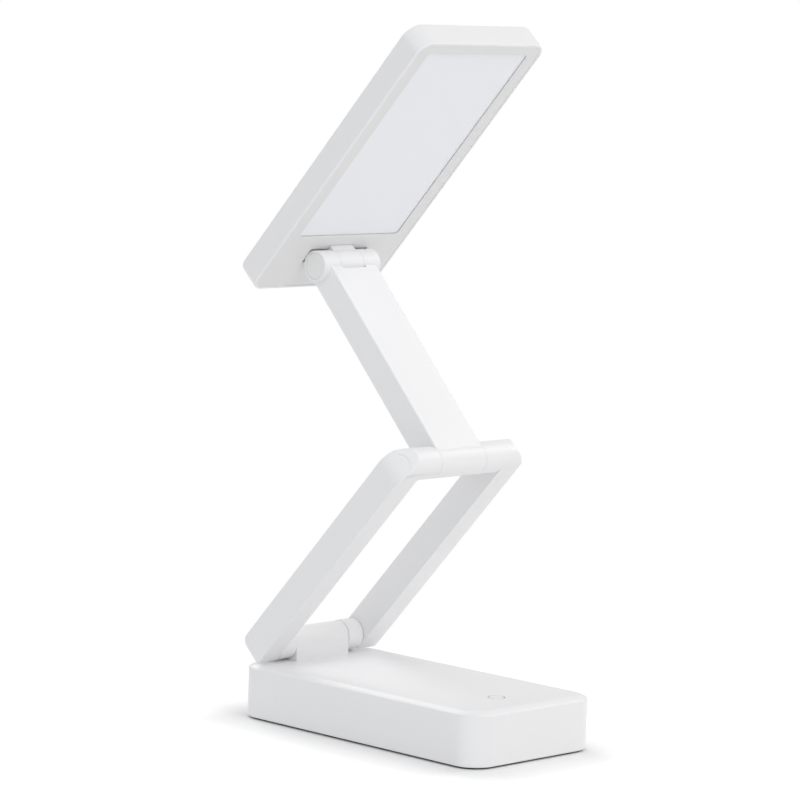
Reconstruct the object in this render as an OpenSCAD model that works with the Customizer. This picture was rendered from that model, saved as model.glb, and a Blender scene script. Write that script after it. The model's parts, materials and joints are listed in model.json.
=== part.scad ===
// Folding LED desk lamp. A flat weighted base carries a two-legged lower frame, a slim upper
// arm and a flat lighting head, joined by friction hinges so that the lamp folds into a block.
// Origin: centre of the face that rests on the desk. +Z is up, the hinge end of the base is
// at +Y and the push button at -Y. Sizes in millimetres.

/* [Base] */
// Length of the base from the button end to the hinge end
base_length = 190; // [188:1:194]
// Width of the base
base_width = 98.5; // [98:0.5:100]
// Height of the top face above the desk
base_height = 31.5; // [31.5:0.1:31.8]
// Radius of the base's upright corners
base_corner = 14.8; // [13:0.1:16]
// Height of the slope along the top edge
base_edge_drop = 2; // [1.5:0.1:2.4]
// Width of the slope along the top edge
base_edge_inset = 4; // [3:0.1:4.4]
// Thickness of the anti-slip pad under the base
pad_thickness = 1; // [0.8:0.1:1.2]
// Width of the hinge saddle on the base
saddle_width = 41.5; // [40:0.5:43]
// Diameter of the push button
button_diameter = 8.6; // [8:0.1:8.8]

/* [Lower frame] */
// Distance from the base hinge to the middle hinge
frame_reach = 160; // [158:1:162]
// Width over both legs
frame_width = 94; // [93:0.5:95]
// Width of one leg seen from the front
leg_width = 14.6; // [14:0.1:15]
// Thickness of the lower frame
frame_depth = 18; // [17.8:0.1:18.2]

/* [Upper arm] */
// Distance from the middle hinge to the head hinge
arm_reach = 138.5; // [137:0.5:140]
// Width of the upper arm
arm_width = 35.4; // [34:0.2:36]
// Thickness of the upper arm
arm_depth = 17.4; // [17:0.1:17.6]

/* [Head] */
// Length of the head
head_length = 196; // [194:1:198]
// Width of the head
head_width = 98; // [97:0.5:99]
// Thickness of the head
head_depth = 15.6; // [15.2:0.1:16]
// Length of the head behind the head hinge
head_rear = 27.5; // [26:0.5:28]
// Width of the light window
window_width = 78; // [76:0.5:79]
// Length of the light window
window_length = 145; // [143:0.5:146]

/* [Pose] */
// Lean of the lower frame and of the head above the desk plane
frame_angle = 47; // [30:1:60]
// Lean of the upper arm above the desk plane
arm_angle = 47; // [30:1:60]

/* [Hidden] */
$fn = 48;
wall = 2.2;
shell_bottom = pad_thickness;
cover_thickness = 2.2;
cavity_floor = shell_bottom + cover_thickness;
cavity_roof = base_height - wall;
hinge_gap = 0.3;
axle_radius = 3;
axle_clearance = 0.05;
frame_radius = frame_depth / 2;
corner_sweep = 7;
dome_start = 12.1;
dome_round = 14;
saddle_radius = 8.65;
hinge_y = 85;
hinge_z = base_height + frame_radius + 0.8;
leg_inner = frame_width / 2 - leg_width;
arm_half = arm_width / 2;
barrel_radius = 8.8;
barrel_half = 22;
knuckle_half = 9;
head_hinge_offset = 1.4;
underside = 8.2;
neck_half = 8.9;
neck_front = 7.45;
mid_y = hinge_y - frame_reach * cos(frame_angle);
mid_z = hinge_z + frame_reach * sin(frame_angle);
head_y = mid_y + arm_reach * cos(arm_angle) - head_hinge_offset * sin(arm_angle);
head_z = mid_z + arm_reach * sin(arm_angle) + head_hinge_offset * cos(arm_angle);
button_x = -3.5;
button_y = -66.7;
rim = 1.7;
window_near = 15.5;
window_centre = -window_near - window_length / 2;
head_centre = head_rear - head_length / 2;
bezel_thickness = 1.8;
flange_seat = 3.15;
guide_bottom = 3.2;
guide_thickness = 3;
cell_radius = 9.1;
cell_height = 13.6;
board_top = 11.6;

// ---------------------------------------------------------------- shared shapes

// Flat outline with four round corners.
module round_rect(x, y, r) {
  square([x - 2 * r, y], center = true);
  square([x, y - 2 * r], center = true);
  for (sx = [-1, 1], sy = [-1, 1])
    translate([sx * (x / 2 - r), sy * (y / 2 - r)]) circle(r = r);
}

// Plate with round upright corners, standing on z = bottom.
module plate(x, y, r, bottom, thickness) {
  translate([0, 0, bottom]) linear_extrude(thickness) round_rect(x, y, r);
}

// Sloped top edge of a round-cornered block: trapezoid bars and corner cones.
module sloped_layer(x, y, r, drop, inset) {
  rotate([90, 0, 0]) translate([0, 0, -(y / 2 - r)]) linear_extrude(y - 2 * r)
    polygon([[-x / 2, 0], [x / 2, 0], [x / 2 - inset, drop], [-x / 2 + inset, drop]]);
  rotate([90, 0, 90]) translate([0, 0, -(x / 2 - r)]) linear_extrude(x - 2 * r)
    polygon([[-y / 2, 0], [y / 2, 0], [y / 2 - inset, drop], [-y / 2 + inset, drop]]);
  for (sx = [-1, 1], sy = [-1, 1])
    translate([sx * (x / 2 - r), sy * (y / 2 - r), 0])
      cylinder(h = drop, r1 = r, r2 = r - inset);
}

// Outline in the Y-Z plane made solid from x0 to x1.
module along_x(x0, x1) {
  translate([x0, 0, 0]) rotate([90, 0, 90]) linear_extrude(x1 - x0) children();
}

// Round bar along X from x0 to x1, centred on y, z.
module bar_x(x0, x1, r, y = 0, z = 0) {
  translate([x0, y, z]) rotate([0, 90, 0]) cylinder(h = x1 - x0, r = r);
}

// Ring along X from x0 to x1.
module ring_x(x0, x1, r, bore) {
  difference() {
    bar_x(x0, x1, r);
    bar_x(x0 - 1, x1 + 1, bore);
  }
}

// Cheese-head screw with a cross recess: head below, shank above, standing at the origin.
module screw(head_r, head_h, shank_r, length) {
  difference() {
    cylinder(h = head_h, r = head_r);
    translate([0, 0, -0.1]) cube([0.9, 2.8, 1.4], center = true);
    translate([0, 0, -0.1]) cube([2.8, 0.9, 1.4], center = true);
  }
  translate([0, 0, head_h]) cylinder(h = length, r = shank_r);
}

// Places a piece in the lower frame: base hinge at its origin, frame along -Y.
module in_frame() {
  translate([0, hinge_y, hinge_z]) rotate([-frame_angle, 0, 0]) children();
}

// Places a piece in the upper arm: middle hinge at its origin, arm along +Y.
module in_arm() {
  translate([0, mid_y, mid_z]) rotate([arm_angle, 0, 0]) children();
}

// Places a piece in the head: head hinge at its origin, tip along -Y, back along +Z.
module in_head() {
  translate([0, head_y, head_z]) rotate([-frame_angle, 0, 0]) children();
}

// ---------------------------------------------------------------- base

base_boss_places = [[-39.5, -82], [39.5, -82], [-41.5, 20], [41.5, 20], [-39.5, 82], [39.5, 82]];
board_boss_places = [[-25, 42], [25, 42], [-25, 74], [25, 74]];
switch_boss_places = [[-12, 0], [10, 0]];
saddle_screw_places = [[-14, 79.6], [14, 79.6], [-14, 89], [14, 89]];

module base_shell() {
  color("white")
  difference() {
    union() {
      difference() {
        union() {
          plate(base_width, base_length, base_corner, shell_bottom,
                base_height - base_edge_drop - shell_bottom);
          translate([0, 0, base_height - base_edge_drop])
            sloped_layer(base_width, base_length, base_corner, base_edge_drop, base_edge_inset);
        }
        plate(base_width - 2 * wall, base_length - 2 * wall, base_corner - wall,
              cavity_floor, cavity_roof - cavity_floor);
        plate(base_width - 2.8, base_length - 2.8, base_corner - 1.4,
              shell_bottom - 1, cover_thickness + 1);
      }
      for (p = base_boss_places)
        translate([p[0], p[1], cavity_floor]) cylinder(h = cavity_roof - cavity_floor + 0.5, r = 3.6);
      for (p = board_boss_places)
        translate([p[0], p[1], board_top]) cylinder(h = cavity_roof - board_top + 0.5, r = 2.8);
      for (p = switch_boss_places)
        translate([button_x + p[0], button_y, 21]) cylinder(h = cavity_roof - 20.5, r = 2.4);
      // guide sleeve under the button
      translate([button_x, button_y, cavity_roof - 1]) cylinder(h = 2, r = 7.4);
    }
    for (p = base_boss_places)
      translate([p[0], p[1], cavity_floor - 1]) cylinder(h = 12, r = 1.3);
    for (p = board_boss_places)
      translate([p[0], p[1], board_top - 1]) cylinder(h = 8, r = 1);
    for (p = switch_boss_places)
      translate([button_x + p[0], button_y, 20]) cylinder(h = 6, r = 0.9);
    translate([button_x, button_y, 20]) cylinder(h = 20, r = button_diameter / 2 + 0.3);
    // seat holes for the saddle: two pegs and four screws
    for (sx = [-1, 1])
      translate([sx * 7, 84, 25]) cylinder(h = 10, r = 2.6);
    for (p = saddle_screw_places)
      translate([p[0], p[1], 25]) cylinder(h = 10, r = 1.6);
    // mouth for the charging socket in the rear wall
    translate([0, base_length / 2 - wall - 1, 13.9]) rotate([-90, 0, 0])
      linear_extrude(wall + 2) {
        square([6.6, 4], center = true);
        for (sx = [-1, 1]) translate([sx * 3.3, 0]) circle(r = 2);
      }
  }
}

module base_bottom_cover() {
  color("gainsboro")
  difference() {
    plate(base_width - 3.1, base_length - 3.1, base_corner - 1.55, shell_bottom,
          cover_thickness - 0.05);
    for (p = base_boss_places) {
      translate([p[0], p[1], shell_bottom - 1]) cylinder(h = 2.4, r = 3);
      translate([p[0], p[1], shell_bottom - 1]) cylinder(h = 5, r = 1.5);
    }
  }
}

module antislip_pad() {
  color("dimgray")
  plate(base_width - 5, base_length - 5, base_corner - 2.5, 0, pad_thickness);
}

module base_screws() {
  color("silver")
  for (p = base_boss_places)
    translate([p[0], p[1], shell_bottom + 0.1]) screw(2.7, 1.3, 1.2, 9);
}

module counterweight() {
  color("slategray")
  difference() {
    translate([0, -56, 0]) plate(68, 58, 4, cavity_floor, 9.5);
    for (sy = [-1, 1])
      translate([0, -56 + sy * 22, cavity_floor - 1]) cylinder(h = 12, r = 3);
  }
}

module battery_tray() {
  color("dimgray")
  difference() {
    translate([0, 3, 0]) plate(70, 40, 2, cavity_floor, 7.5);
    for (sy = [-1, 1])
      translate([-33.5, 3 + sy * 9.4, cell_height]) rotate([0, 90, 0])
        cylinder(h = 67, r = cell_radius + 0.1);
    translate([-33.5, -13, cell_height - 6.5]) cube([67, 32, 20]);
  }
}

module battery_cells() {
  color("steelblue")
  for (sy = [-1, 1])
    translate([0, 3 + sy * 9.4, cell_height]) {
      bar_x(-32, 31.4, cell_radius);
      bar_x(31, 32.6, 3);
    }
}

module main_board() {
  color("seagreen")
  difference() {
    union() {
      translate([0, 60, 0]) plate(58, 46, 1.5, board_top - 1.6, 1.6);
      // controller, inductor, capacitors and the two plug headers
      translate([-12, 50, board_top - 0.1]) cube([7, 7, 1.3]);
      translate([4, 48, board_top - 0.1]) cube([6.5, 6.5, 3.3]);
      for (n = [0:2]) translate([-18 + n * 6, 64, board_top - 0.1]) cylinder(h = 5, r = 2.1);
      translate([14, 58, board_top - 0.1]) cube([8, 5.6, 6]);
      translate([-24, 54, board_top - 0.1]) cube([5.6, 8, 6]);
    }
    for (p = board_boss_places)
      translate([p[0], p[1], board_top - 3]) cylinder(h = 5, r = 1.2);
  }
}

module usb_socket() {
  color("silver")
  translate([0, base_length / 2 - 0.6, 13.9]) rotate([90, 0, 0])
    difference() {
      union() {
        linear_extrude(9) {
          square([5.7, 3.2], center = true);
          for (sx = [-1, 1]) translate([sx * 2.85, 0]) circle(r = 1.6);
        }
        translate([-4.2, -2.2, 3]) cube([8.4, 2, 5]);
      }
      translate([0, 0, -1]) linear_extrude(8) {
        square([5.7, 2.5], center = true);
        for (sx = [-1, 1]) translate([sx * 2.85, 0]) circle(r = 1.25);
      }
    }
  // contact tongue
  color("dimgray")
  translate([-3.2, base_length / 2 - 8, 13.55]) cube([6.4, 6, 0.7]);
}

module button_board() {
  color("seagreen")
  difference() {
    translate([button_x - 1, button_y, 0]) plate(30, 14, 1, 19.4, 1.6);
    for (p = switch_boss_places)
      translate([button_x + p[0], button_y, 18]) cylinder(h = 5, r = 1.1);
  }
}

module tact_switch() {
  color("dimgray")
  translate([button_x, button_y, 21]) {
    translate([-3, -3, 0]) cube([6, 6, 3.2]);
    cylinder(h = 3.6, r = 1.7);
  }
}

module board_screws() {
  color("silver") {
    for (p = board_boss_places)
      translate([p[0], p[1], board_top - 1.6 - 1.25]) screw(1.9, 1.2, 0.95, 6);
    for (p = switch_boss_places)
      translate([button_x + p[0], button_y, 19.4 - 1.05]) screw(1.7, 1, 0.85, 5);
  }
}

module hinge_saddle() {
  color("white")
  difference() {
    union() {
      along_x(-saddle_width / 2, saddle_width / 2)
        polygon([[hinge_y - saddle_radius, base_height], [hinge_y + 6.4, base_height],
                 [hinge_y + 6.4, hinge_z], [hinge_y - saddle_radius, hinge_z]]);
      bar_x(-saddle_width / 2, saddle_width / 2, saddle_radius, hinge_y, hinge_z);
      for (sx = [-1, 1])
        translate([sx * 7, 84, cavity_roof + 0.4]) cylinder(h = 4, r = 2.5);
    }
    bar_x(-30, 30, axle_radius + axle_clearance, hinge_y, hinge_z);
    for (sx = [-1, 1])
      bar_x(sx * saddle_width / 2 - 1.2, sx * saddle_width / 2 + 1.2, 6.4, hinge_y, hinge_z);
    for (p = saddle_screw_places)
      translate([p[0], p[1], base_height - 1]) cylinder(h = 5.4, r = 1.35);
  }
}

module saddle_screws() {
  color("silver")
  for (p = saddle_screw_places)
    translate([p[0], p[1], cavity_roof - 1.45]) screw(2.4, 1.4, 1.25, 6.2);
}

module button_cap() {
  color("white")
  translate([button_x, button_y, 0]) {
    translate([0, 0, 27.2]) cylinder(h = base_height - 27.2, r = button_diameter / 2);
    translate([0, 0, 26.9]) cylinder(h = 1.3, r = 5.8);
    translate([0, 0, 25.6]) cylinder(h = 1.6, r = 1.8);
  }
}

// ---------------------------------------------------------------- lower frame

// Side outline of a leg: round at the middle hinge, squared past the base hinge.
module leg_outline() {
  translate([-frame_reach, 0]) circle(r = frame_radius);
  translate([-frame_reach, -frame_radius]) square([frame_reach - 0.5, frame_depth]);
  translate([-1, -frame_radius + 1.6]) square([5.5, frame_depth - 6.6]);
  translate([-1, -frame_radius]) square([3.9, 2]);
  translate([-0.5, frame_radius - 5]) circle(r = 5);
  translate([2.9, -frame_radius + 1.6]) circle(r = 1.6);
}

// One leg with its half of the crossbar; the cavity opens to the back face.
module leg(fillet) {
  difference() {
    union() {
      along_x(leg_inner, frame_width / 2) leg_outline();
      bar_x(arm_half + hinge_gap, leg_inner + 1, frame_radius, -frame_reach);
      // web between leg and crossbar
      if (fillet > 1)
        difference() {
          translate([leg_inner - fillet, -frame_reach, -frame_radius])
            cube([fillet + 1, frame_radius + fillet - 1.5, frame_radius + 3]);
          translate([leg_inner - fillet, -frame_reach + frame_radius + fillet - 1.5, -20])
            cylinder(h = 40, r = fillet);
          translate([0, -frame_reach, 0]) rotate([0, 90, 0]) cylinder(h = 60, r = 1);
        }
    }
    translate([leg_inner + 2, -frame_reach + 14, -frame_radius + 2])
      cube([leg_width - 4, frame_reach - 24, frame_depth]);
    translate([leg_inner + 1.1, -frame_reach + 11, frame_radius - 1.7])
      cube([leg_width - 2.2, frame_reach - 18, 5]);
    bar_x(leg_inner - 1, frame_width / 2 - 3, axle_radius + 0.01);
    bar_x(0, frame_width / 2 - 7, axle_radius + 0.01, -frame_reach);
    translate([frame_width / 2, -frame_reach - frame_radius, -20]) linear_extrude(40)
      if (fillet > 1) domed_corner(); else swept_corner();
  }
}

// Waste outside the frame's outer corner, seen from the front: a plain large round.
module swept_corner() {
  difference() {
    translate([-corner_sweep, -1]) square([corner_sweep + 1, corner_sweep + 1]);
    translate([-corner_sweep, corner_sweep]) circle(r = corner_sweep);
  }
}

// Waste outside the other outer corner: a slanted flat that runs into a wide round.
module domed_corner() {
  difference() {
    polygon([[-dome_start, 0], [-dome_start, -2], [2, -2], [2, 16.75], [0, 16.75], [-4.97, 6.05]]);
    translate([-dome_round, 16.75]) circle(r = dome_round);
  }
}

module left_leg() {
  color("white") in_frame() mirror([1, 0, 0]) leg(4);
}

module right_leg() {
  color("white") in_frame() leg(0);
}

module leg_covers() {
  color("whitesmoke") in_frame()
  for (sx = [-1, 1])
    translate([sx * (leg_inner + leg_width / 2) - leg_width / 2 + 1.25,
               -frame_reach + 11.15, frame_radius - 1.65])
      cube([leg_width - 2.5, frame_reach - 18.3, 1.65]);
}

module hinge_collars() {
  color("white") in_frame()
  for (sx = [-1, 1])
    translate([sx * (saddle_width / 2 + leg_inner) / 2, 0, 0])
      ring_x(-(leg_inner - saddle_width / 2) / 2 + hinge_gap,
             (leg_inner - saddle_width / 2) / 2 - hinge_gap, frame_radius, axle_radius + 0.02);
}

module base_axle() {
  color("silver") in_frame() bar_x(-frame_width / 2 + 3.2, frame_width / 2 - 3.2, axle_radius);
}

module mid_axle() {
  color("silver") in_frame()
    bar_x(-frame_width / 2 + 7.2, frame_width / 2 - 7.2, axle_radius, -frame_reach);
}

module base_friction_washers() {
  color("silver") in_frame()
  for (sx = [-1, 1])
    translate([sx * (saddle_width / 2 - 0.5), 0, 0]) ring_x(-0.55, 0.55, 6, axle_radius + 0.02);
}

module mid_friction_washers() {
  color("silver") in_frame() translate([0, -frame_reach, 0])
  for (sx = [-1, 1])
    translate([sx * (arm_half - 0.5), 0, 0]) ring_x(-0.55, 0.55, 6, axle_radius + 0.02);
}

// ---------------------------------------------------------------- upper arm

// Side outline of the arm between its two barrels.
module arm_outline() {
  polygon([[2.2, -arm_depth / 2], [arm_reach - 1.5, -arm_depth / 2],
           [arm_reach, -arm_depth / 2 + 1.5], [arm_reach, head_hinge_offset],
           [arm_reach - 6.5, arm_depth / 2], [4.2, arm_depth / 2], [2.2, arm_depth / 2 - 0.6]]);
}

module arm_shell() {
  color("white") in_arm()
  difference() {
    union() {
      along_x(-arm_half, arm_half) arm_outline();
      bar_x(-arm_half, arm_half, frame_radius);
      bar_x(-barrel_half, barrel_half, barrel_radius, arm_reach, head_hinge_offset);
    }
    bar_x(-30, 30, axle_radius + axle_clearance);
    for (sx = [-1, 1])
      bar_x(sx * arm_half - 1.2, sx * arm_half + 1.2, 6.4);
    // fork slot for the head knuckle
    bar_x(-knuckle_half - hinge_gap, knuckle_half + hinge_gap, barrel_radius + 0.6,
          arm_reach, head_hinge_offset);
    translate([-knuckle_half - hinge_gap, arm_reach - 3, -arm_depth])
      cube([2 * knuckle_half + 2 * hinge_gap, 20, 40]);
    // seat for the knuckle's neck when the lamp is folded
    translate([-knuckle_half - hinge_gap, arm_reach - neck_front - 0.5, head_hinge_offset + 5])
      cube([2 * knuckle_half + 2 * hinge_gap, 8, 5]);
    bar_x(-barrel_half + 2, barrel_half - 2, axle_radius + 0.01, arm_reach, head_hinge_offset);
    for (sx = [-1, 1])
      bar_x(sx * barrel_half - 1.6, sx * barrel_half + 1.6, 7.6, arm_reach, head_hinge_offset);
    // cavity and the rebate for the back cover
    translate([-arm_half + 2, 13, -arm_depth]) cube([arm_width - 4, arm_reach - 31, arm_depth * 1.5 - 2]);
    translate([-arm_half + 1.1, 10, -arm_depth]) cube([arm_width - 2.2, arm_reach - 25, arm_depth / 2 + 1.7]);
  }
}

module arm_back_cover() {
  color("whitesmoke") in_arm()
  translate([-arm_half + 1.25, 10.15, -arm_depth / 2]) cube([arm_width - 2.5, arm_reach - 25.3, 1.65]);
}

module head_axle() {
  color("silver") in_arm()
    bar_x(-barrel_half + 2.2, barrel_half - 2.2, axle_radius, arm_reach, head_hinge_offset);
}

module barrel_caps() {
  color("whitesmoke") in_arm() translate([0, arm_reach, head_hinge_offset])
  for (sx = [-1, 1])
    translate([sx * (barrel_half - 0.85), 0, 0]) bar_x(-0.7, 0.7, 7.4);
}

module head_friction_washers() {
  color("silver") in_arm() translate([0, arm_reach, head_hinge_offset])
  for (sx = [-1, 1])
    translate([sx * (knuckle_half - 0.5), 0, 0]) ring_x(-0.55, 0.55, 6, axle_radius + 0.02);
}

// ---------------------------------------------------------------- head

head_boss_places = [[-43, 20], [43, 20], [-42.6, -160.5], [42.6, -160.5]];
knuckle_screw_places = [[-17, 12], [17, 12], [-17, -7.2], [17, -7.2]];

module head_shell() {
  color("white") in_head() translate([0, head_centre, underside])
  difference() {
    union() {
      difference() {
        union() {
          plate(head_width, head_length, 9, 0, head_depth - 1.2);
          translate([0, 0, head_depth - 1.2]) sloped_layer(head_width, head_length, 9, 1.2, 1.2);
        }
        plate(head_width - 2 * rim, head_length - 2 * rim, 9 - rim, -1, head_depth - 0.9);
      }
      for (p = knuckle_screw_places)
        translate([p[0], p[1] - head_centre, 4.3]) cylinder(h = head_depth - 5, r = 2.9);
      for (x = [-34, -17, 0, 17, 34])
        translate([x - 0.6, -head_length / 2 + 1, 7.4]) cube([1.2, head_length - 50, head_depth - 8.4]);
    }
    for (p = knuckle_screw_places)
      translate([p[0], p[1] - head_centre, 3]) cylinder(h = 8, r = 1.1);
  }
}

module head_bezel() {
  color("whitesmoke") in_head() translate([0, 0, underside])
  difference() {
    translate([0, head_centre, 0])
      plate(head_width - 2 * rim - 0.5, head_length - 2 * rim - 0.5, 8.7 - rim, 0.05, bezel_thickness - 0.05);
    translate([0, window_centre, 0]) plate(window_width, window_length, 2.5, -1, 5);
    translate([0, window_centre, 0]) plate(window_width + 3.4, window_length + 3.4, 3.5, 1.15, 5);
    // trough for the hinge barrel and the notch for the knuckle's neck
    translate([-barrel_half - 0.35, -4.7, -1]) cube([2 * barrel_half + 0.7, 10.7, 5]);
    translate([-neck_half - 0.3, -neck_front - 0.3, -1]) cube([2 * neck_half + 0.6, 8, 5]);
  }
}

module diffuser() {
  color("aliceblue") in_head() translate([0, window_centre, underside])
    plate(window_width + 3, window_length + 3, 3.3, 1.2, 1.9);
}

module light_guide() {
  color("lightcyan") in_head() translate([0, window_centre, underside])
    plate(window_width + 2, window_length + 2, 2, guide_bottom, guide_thickness);
}

module reflector_sheet() {
  color("white") in_head() translate([0, window_centre, underside])
    plate(window_width + 7, window_length + 4, 2, guide_bottom + guide_thickness + 0.1, 0.8);
}

module led_boards() {
  color("gainsboro") in_head() translate([0, window_centre, underside])
  for (sx = [-1, 1])
    translate([sx * (window_width / 2 + 3.6) - 0.6, -window_length / 2 + 2, 2])
      cube([1.2, window_length - 4, 4.2]);
}

module led_chips() {
  color("khaki") in_head() translate([0, window_centre, underside])
  for (sx = [-1, 1], n = [0:11])
    translate([sx * (window_width / 2 + 2.4 - 0.01) - 0.6, -60 + n * 120 / 11 - 1.6, 3.4])
      cube([1.2, 3.2, 2]);
}

module head_knuckle() {
  color("white") in_head()
  difference() {
    union() {
      bar_x(-knuckle_half, knuckle_half, barrel_radius);
      // neck through the bezel and the flange behind it
      translate([-neck_half, -neck_front, 0]) cube([2 * neck_half, neck_front + 4, underside + 3]);
      translate([0, 2.5, underside]) plate(46, 26, 3, bezel_thickness + 0.02, 2.3);
    }
    bar_x(-20, 20, axle_radius + axle_clearance);
    for (sx = [-1, 1])
      bar_x(sx * knuckle_half - 1.2, sx * knuckle_half + 1.2, 6.4);
    // screw holes in the flange, sunk so that the heads stay behind the bezel
    for (p = knuckle_screw_places) {
      translate([p[0], p[1], underside]) cylinder(h = 8, r = 1.25);
      translate([p[0], p[1], underside]) cylinder(h = flange_seat, r = 2.5);
    }
  }
}

module knuckle_screws() {
  color("silver") in_head()
  for (p = knuckle_screw_places)
    translate([p[0], p[1], underside + flange_seat - 1.3]) screw(2.3, 1.3, 1.05, 6);
}

// ---------------------------------------------------------------- assembly

base_shell();
base_bottom_cover();
antislip_pad();
base_screws();
counterweight();
battery_tray();
battery_cells();
main_board();
usb_socket();
button_board();
tact_switch();
board_screws();
hinge_saddle();
saddle_screws();
button_cap();
left_leg();
right_leg();
leg_covers();
hinge_collars();
base_axle();
mid_axle();
base_friction_washers();
mid_friction_washers();
arm_shell();
arm_back_cover();
head_axle();
barrel_caps();
head_friction_washers();
head_shell();
head_bezel();
diffuser();
light_guide();
reflector_sheet();
led_boards();
led_chips();
head_knuckle();
knuckle_screws();
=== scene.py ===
import json
import math

import bmesh
import bpy
from mathutils import Matrix, Vector


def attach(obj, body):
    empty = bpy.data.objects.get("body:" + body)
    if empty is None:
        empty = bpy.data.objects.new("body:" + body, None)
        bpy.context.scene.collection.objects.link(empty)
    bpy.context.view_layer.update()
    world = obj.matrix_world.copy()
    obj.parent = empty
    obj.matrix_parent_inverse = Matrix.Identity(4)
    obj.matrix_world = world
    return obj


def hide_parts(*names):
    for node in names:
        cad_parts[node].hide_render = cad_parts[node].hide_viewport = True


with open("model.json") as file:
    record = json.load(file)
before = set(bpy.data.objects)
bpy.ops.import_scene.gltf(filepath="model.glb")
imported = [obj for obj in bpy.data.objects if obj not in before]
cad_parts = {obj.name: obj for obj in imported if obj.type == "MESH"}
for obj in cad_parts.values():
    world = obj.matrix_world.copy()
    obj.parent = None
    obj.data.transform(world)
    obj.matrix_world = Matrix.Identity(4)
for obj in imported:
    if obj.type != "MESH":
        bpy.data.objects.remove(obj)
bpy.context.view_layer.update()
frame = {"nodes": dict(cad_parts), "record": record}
MM = 0.001

# ------------------------------------------------------------------ places

# Sizes are in mm, with x to the right, y to the back and z up. The lamp stands with its frame,
# arm and head leaning 47 degrees. The pieces of each jointed group are shaped lying flat, with
# their own hinge at the origin, and then leaned into place.
LEAN = math.radians(47)
SADDLE_AXIS = (85, 41.3)
FRAME_REACH = 160
ARM_REACH, HEAD_RISE = 138.5, 1.4
BASE_HINGE = Vector((0, *SADDLE_AXIS))
MID_HINGE = BASE_HINGE + FRAME_REACH * Vector((0, -math.cos(LEAN), math.sin(LEAN)))
ARM_RUN = Vector((0, math.cos(LEAN), math.sin(LEAN)))
ARM_FACE = Vector((0, -math.sin(LEAN), math.cos(LEAN)))
HEAD_HINGE = MID_HINGE + ARM_REACH * ARM_RUN + HEAD_RISE * ARM_FACE

ON_DESK = Matrix.Identity(4)
ON_FRAME = Matrix.Translation(BASE_HINGE * MM) @ Matrix.Rotation(-LEAN, 4, "X")
ON_ARM = Matrix.Translation(MID_HINGE * MM) @ Matrix.Rotation(LEAN, 4, "X")
ON_HEAD = Matrix.Translation(HEAD_HINGE * MM) @ Matrix.Rotation(-LEAN, 4, "X")


# ------------------------------------------------------------------ workshop

def alone(obj):
    """Makes one piece the only one chosen."""
    bpy.ops.object.select_all(action="DESELECT")
    obj.select_set(True)
    bpy.context.view_layer.objects.active = obj


def block(name, low, high):
    """A cube primitive between two corners, in mm."""
    bpy.ops.object.select_all(action="DESELECT")
    bpy.ops.mesh.primitive_cube_add(size=1, location=[(a + b) / 2 * MM for a, b in zip(low, high)])
    obj = bpy.context.object
    obj.scale = [(b - a) * MM for a, b in zip(low, high)]
    bpy.ops.object.transform_apply(location=True, rotation=True, scale=True)
    obj.name = obj.data.name = name
    return obj


def drum(name, radius, start, end, centre=(0, 0), along="X", sides=96):
    """A cylinder primitive from start to end along one axis, centred on the other two, in mm."""
    bpy.ops.object.select_all(action="DESELECT")
    middle = (start + end) / 2
    place, turn = {"X": ((middle, centre[0], centre[1]), (0, math.pi / 2, 0)),
                   "Y": ((centre[0], middle, centre[1]), (math.pi / 2, 0, 0)),
                   "Z": ((centre[0], centre[1], middle), (0, 0, 0))}[along]
    bpy.ops.mesh.primitive_cylinder_add(vertices=sides, radius=radius * MM,
                                        depth=(end - start) * MM,
                                        location=[c * MM for c in place], rotation=turn)
    obj = bpy.context.object
    bpy.ops.object.transform_apply(location=True, rotation=True, scale=True)
    obj.name = obj.data.name = name
    return obj


def pick(obj, kind, test):
    """Opens a piece for editing with the corners, edges or faces chosen that pass the test.

    A corner is tested by its place, an edge by its two ends and how far it turns, and a face
    by its middle and normal, all in mm and degrees.
    """
    alone(obj)
    bpy.ops.object.mode_set(mode="EDIT")
    bpy.ops.mesh.select_mode(type=kind)
    bpy.ops.mesh.select_all(action="DESELECT")
    mesh = bmesh.from_edit_mesh(obj.data)
    mesh.normal_update()
    if kind == "FACE":
        for face in mesh.faces:
            face.select_set(test(face.calc_center_median() / MM, face.normal))
    elif kind == "VERT":
        for corner in mesh.verts:
            corner.select_set(test(corner.co / MM))
    else:
        for edge in mesh.edges:
            turn = math.degrees(edge.calc_face_angle(0)) if len(edge.link_faces) == 2 else 0
            if test(edge.verts[0].co / MM, edge.verts[1].co / MM, turn):
                edge.select_set(True)
    mesh.select_flush_mode()
    bmesh.update_edit_mesh(obj.data)


def close():
    """Ends the editing that pick began."""
    bpy.ops.object.mode_set(mode="OBJECT")


def on(value, target, slack=0.04):
    """True within a hair's breadth, in mm."""
    return abs(value - target) < slack


def round_edges(obj, radius, steps, test, sharper_than=20):
    """Bevels the edges whose two ends pass the test, to a radius in mm."""
    pick(obj, "EDGE", lambda a, b, turn: turn > sharper_than and test(a, b))
    bevel_chosen(radius, steps)


def bevel_chosen(radius, steps):
    """Rounds the chosen edges and ends the editing."""
    bpy.ops.mesh.bevel(offset=radius * MM, segments=steps, profile=0.5, affect="EDGES",
                       clamp_overlap=False)
    close()


def cross(a, b, axis):
    """True for an edge that runs along one axis only."""
    run = b - a
    return all(abs(run[i]) < 0.01 for i in range(3) if i != axis) and abs(run[axis]) > 0.5


def upright(a, b):
    """True for an edge that stands up."""
    return cross(a, b, 2)


def level(height):
    """A test for the edges that lie at one height."""
    return lambda a, b: on(a.z, height) and on(b.z, height)


def at_ends(reach):
    """A test for the edges round the left and right end faces, this far from the middle."""
    return lambda a, b: on(abs(a.x), reach) and on(a.x, b.x)


def whole(middle, normal):
    """The test that every face passes."""
    return True


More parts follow.
